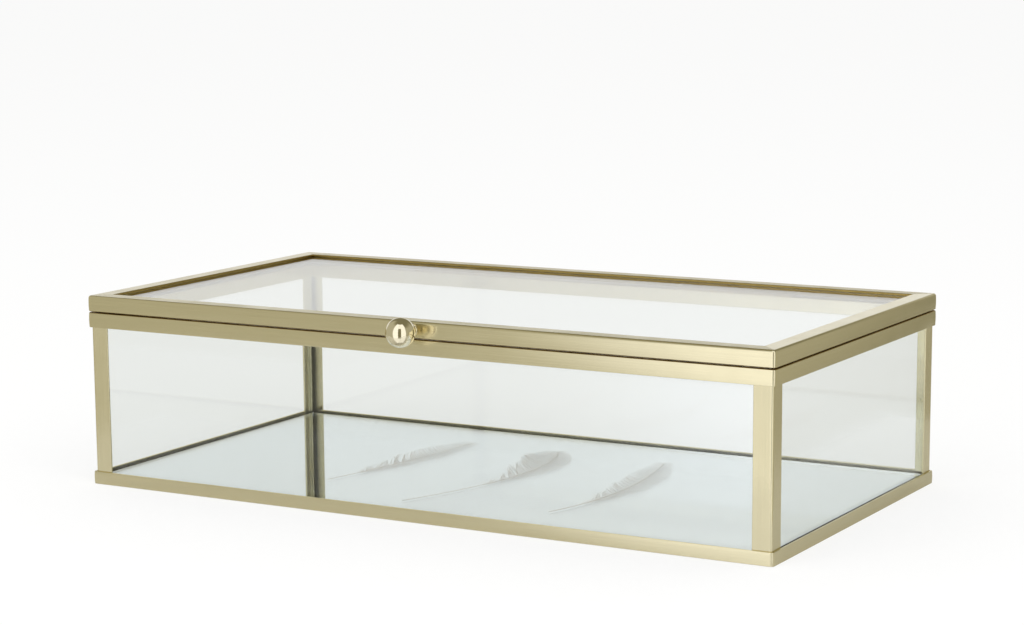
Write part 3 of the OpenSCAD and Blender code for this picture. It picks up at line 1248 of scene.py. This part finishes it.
@dataclass(frozen=True)
class Studio:
    """White table and backdrop, a dim room with lit panels, two softboxes and the camera.

    Angles are in degrees and lengths in metres. table is half the paper's size as a mirror
    image shows it, and ceiling is where the white ceiling begins and where it is full.
    """

    azimuth: float = 29.522
    elevation: float = 10.128
    roll: float = -0.395
    distance: float = 0.8111
    aim_height: float = 0.030
    lens: float = 91.07
    shift_x: float = 0.00123
    shift_y: float = 0.0749
    fill_level: float = 0.86
    glazed_level: float = 0.92
    dark_level: float = 0.22
    bright_level: float = 0.95
    dark_tint: tuple[float, float, float, float] = (1.0, 0.93, 0.6, 1.0)
    ceiling: tuple[float, float] = (12.0, 28.0)
    table: tuple[float, float] = (0.169, 0.165)
    table_edge: float = 0.008
    paper_grain_mm: float = 2.5
    paper_glow: float = 0.7
    paper_sheen: float = 0.65
    floor_reach: float = 14.0
    floor_drop: float = 0.00005
    lamps: tuple[Softbox, ...] = (
        Softbox("softbox_left", -10.0, 1.3, 1.18, 2.0, 0.0, 1.4),
        Softbox("softbox_right", 57.0, 1.3, 0.93, 1.8, 0.0, 1.3),
    )
    panels: tuple[Panel, ...] = (
        Panel(-115.0, -20.0, -75.0, 60.0, 0.5, (20.0, 10.0, 20.0, 30.0)),
        Panel(-26.0, 15.0, -49.0, 72.0, 1.25, (8.0, 2.0, 8.0, 4.0)),
        Panel(39.0, 79.0, -49.0, 72.0, 1.2, (2.0, 2.0, 8.0, 4.0)),
        Panel(14.0, 40.0, 38.0, 72.0, 1.15, (2.0, 2.0, 4.0, 4.0)),
        Panel(76.0, 160.0, -75.0, 40.0, 0.45, (4.0, 14.0, 20.0, 30.0)),
        Panel(-200.0, -105.0, -90.0, 18.0, 0.92, (1.0, 12.0, 1.0, 14.0)),
        Panel(168.0, 200.0, -90.0, 18.0, 0.92, (10.0, 1.0, 1.0, 14.0)),
    )

    def build(self) -> None:
        """Set up floor, world, lamps, camera and the plain view transform."""
        self.build_floor()
        self.build_world()
        for lamp in self.lamps:
            lamp.build()
        self.build_camera()
        scene = bpy.context.scene
        scene.view_settings.view_transform = "Standard"
        scene.cycles.glossy_bounces = 10
        scene.cycles.max_bounces = 16

    @staticmethod
    def past(tree: NodeTree, depth: str) -> Any:
        """Tell whether a ray has met one kind of surface on its way.

        Args:
            tree: The node tree.
            depth: The Light Path node's count of that kind.

        Returns:
            A socket that is 1 once the count is above 0.
        """
        return add(tree, "Math", {0: add(tree, "LightPath", out=depth), 1: 0.5}, operation="GREATER_THAN")

    def mirrored(self, tree: NodeTree) -> Any:
        """Return a socket that is 1 for what a mirror image shows, before any matt surface."""
        unspread = add(tree, "Math", {0: 1.0, 1: self.past(tree, "Diffuse Depth")}, operation="SUBTRACT")
        return add(tree, "Math", {0: self.past(tree, "Glossy Depth"), 1: unspread}, operation="MULTIPLY")

    def white_level(self, tree: NodeTree) -> Any:
        """Return the level of the white: 1 to the eye, and less through the glass, as it dims."""
        through = self.past(tree, "Transmission Depth")
        return add(tree, "Mix", {0: through, 2: 1.0, 3: self.glazed_level}, data_type="FLOAT")

    def build_floor(self) -> None:
        """Lay the floor: white to the eye, plain paper to the light, and to a mirror a small table.

        In a mirror image the paper near the box is glossy, and beyond the table's edge the room
        goes on below the horizon.
        """
        material, tree = new_material("white_studio_paper")
        grain = mottle(tree, self.paper_grain_mm, 3.0)
        paper = add(tree, "BsdfDiffuse", {0: flecked(tree, "#FAFAF8", "#FEFEFC", grain, 0.0, 1.0)})
        glow = add(tree, "Emission", {0: (1.0, 1.0, 1.0, 1.0), 1: self.white_level(tree)})
        eye, through = (add(tree, "LightPath", out=f"Is {ray} Ray") for ray in ("Camera", "Transmission"))
        seen = add(tree, "Math", {0: eye, 1: through}, operation="MAXIMUM")
        share = add(tree, "Math", {0: seen, 1: self.paper_glow}, operation="MULTIPLY")
        direct = add(tree, "MixShader", {0: share, 1: paper, 2: glow})
        sheen = add(tree, "BsdfGlossy", {"Color": (0.85, 0.85, 0.85, 1.0), "Roughness": 0.12})
        near = add(tree, "MixShader", {0: self.paper_sheen, 1: paper, 2: sheen})
        spread = add(tree, "VectorMath", {0: add(tree, "TexCoord", out="Object")}, operation="ABSOLUTE")
        past_edge = add(tree, "VectorMath", {0: spread, 1: (*self.table, 0.0)}, operation="SUBTRACT")
        over = add(tree, "SeparateXYZ", {0: past_edge}).node.outputs
        most = add(tree, "Math", {0: over["X"], 1: over["Y"]}, operation="MAXIMUM")
        beyond = add(tree, "MapRange", {0: most, 1: -self.table_edge, 2: self.table_edge})
        image = add(tree, "MixShader", {0: beyond, 1: near, 2: add(tree, "BsdfTransparent")})
        mixed = add(tree, "MixShader", {0: self.mirrored(tree), 1: direct, 2: image})
        add(tree, "OutputMaterial", {"Surface": mixed})
        t = np.linspace(-self.floor_reach, self.floor_reach, 15)
        x, y = np.meshgrid(t, t)
        number = np.arange(x.size).reshape(x.shape)
        quads = np.stack([number[:-1, :-1], number[:-1, 1:], number[1:, 1:], number[1:, :-1]], axis=-1)
        mesh = bpy.data.meshes.new("floor")
        points = np.column_stack([x.ravel(), y.ravel(), np.full(x.size, -self.floor_drop)])
        mesh.from_pydata(points.tolist(), [], quads.reshape(-1, 4).tolist())
        mesh.materials.append(material)
        floor = bpy.data.objects.new("floor", mesh)
        bpy.context.scene.collection.objects.link(floor)

    def build_world(self) -> None:
        """Make the room: plain white to the eye, an even fill to the light, and panels to a mirror.

        The room darkens away from the panels, and what is dark is warm, as bare walls are. Seen
        through glass, and so by the base mirror too, it has a white ceiling.
        """
        world = bpy.data.worlds.new("studio_room")
        world.use_nodes = True
        world.cycles.sampling_method = "NONE"
        tree = world.node_tree
        tree.nodes.clear()
        way = add(tree, "SeparateXYZ", {0: add(tree, "TexCoord", out="Generated")}).node.outputs
        front = add(tree, "Math", {0: way["Y"], 1: -1.0}, operation="MULTIPLY")
        turn = add(tree, "Math", {0: way["X"], 1: front}, operation="ARCTAN2")
        rise = add(tree, "Math", {0: way["Z"]}, operation="ARCSINE")
        azimuth, elevation = (add(tree, "Math", {0: angle}, operation="DEGREES") for angle in (turn, rise))
        level: Any = self.dark_level
        for panel in self.panels:
            share = panel.share(tree, azimuth, elevation)
            level = add(tree, "Mix", {0: share, 2: level, 3: panel.level}, data_type="FLOAT")
        limits = {0: elevation, 1: self.ceiling[0], 2: self.ceiling[1]}
        high = add(tree, "MapRange", limits, interpolation_type="SMOOTHSTEP")
        ceiling = add(tree, "Math", {0: high, 1: self.past(tree, "Transmission Depth")}, operation="MULTIPLY")
        level = add(tree, "Mix", {0: ceiling, 2: level, 3: self.glazed_level}, data_type="FLOAT")
        bright = add(tree, "MapRange", {0: level, 1: self.dark_level, 2: self.bright_level})
        tone = add(tree, "Mix", {0: bright, 6: self.dark_tint, 7: (1.0, 1.0, 1.0, 1.0)}, 2, data_type="RGBA")
        room = add(tree, "Background", {0: tone, 1: level})
        spread = self.past(tree, "Diffuse Depth")
        fill = add(tree, "Mix", {0: spread, 2: self.white_level(tree), 3: self.fill_level}, data_type="FLOAT")
        plain = add(tree, "Background", {0: (1.0, 1.0, 1.0, 1.0), 1: fill})
        both = add(tree, "MixShader", {0: self.mirrored(tree), 1: plain, 2: room})
        add(tree, "OutputWorld", {0: both}, is_active_output=True)
        bpy.context.scene.world = world

    def build_camera(self) -> None:
        """Place the camera round the box as the photograph was taken."""
        a, e, r = (math.radians(v) for v in (self.azimuth, self.elevation, self.roll))
        back = np.array([math.sin(a) * math.cos(e), -math.cos(a) * math.cos(e), math.sin(e)])
        right = np.cross(-back, [0.0, 0.0, 1.0])
        right /= np.linalg.norm(right)
        up = np.cross(right, -back)
        level, upright = right * math.cos(r) + up * math.sin(r), up * math.cos(r) - right * math.sin(r)
        data = bpy.data.cameras.new("studio_camera")
        data.sensor_fit, data.sensor_width, data.lens = "HORIZONTAL", 36.0, self.lens
        data.shift_x, data.shift_y = self.shift_x, self.shift_y
        data.clip_start, data.clip_end = 0.01, 60.0
        camera = bpy.data.objects.new("studio_camera", data)
        turn = Matrix(np.column_stack([level, upright, back]).tolist())
        camera.rotation_euler = turn.to_euler()
        camera.location = back * self.distance + np.array([0.0, 0.0, self.aim_height])
        bpy.context.scene.collection.objects.link(camera)
        bpy.context.scene.camera = camera


def main() -> None:
    """Load the frame, set up the studio, and build and dress every sub-assembly."""
    logging.basicConfig(level=logging.INFO, format="%(message)s")
    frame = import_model()
    Studio().build()
    finishes = Finishes()
    box = BoxSizes()
    hinges = HingeSet()
    for rails in rail_sets(box):
        rails.build(finishes, hinges)
    hinges.dress(frame["nodes"], finishes)
    CornerPosts(box).build(finishes)
    Glazing(box).build(finishes)
    MirrorBase(box).build(finishes)
    Underside(box).build(frame["nodes"], finishes)
    BallKnob().build(finishes)


if __name__ == "__main__":
    main()
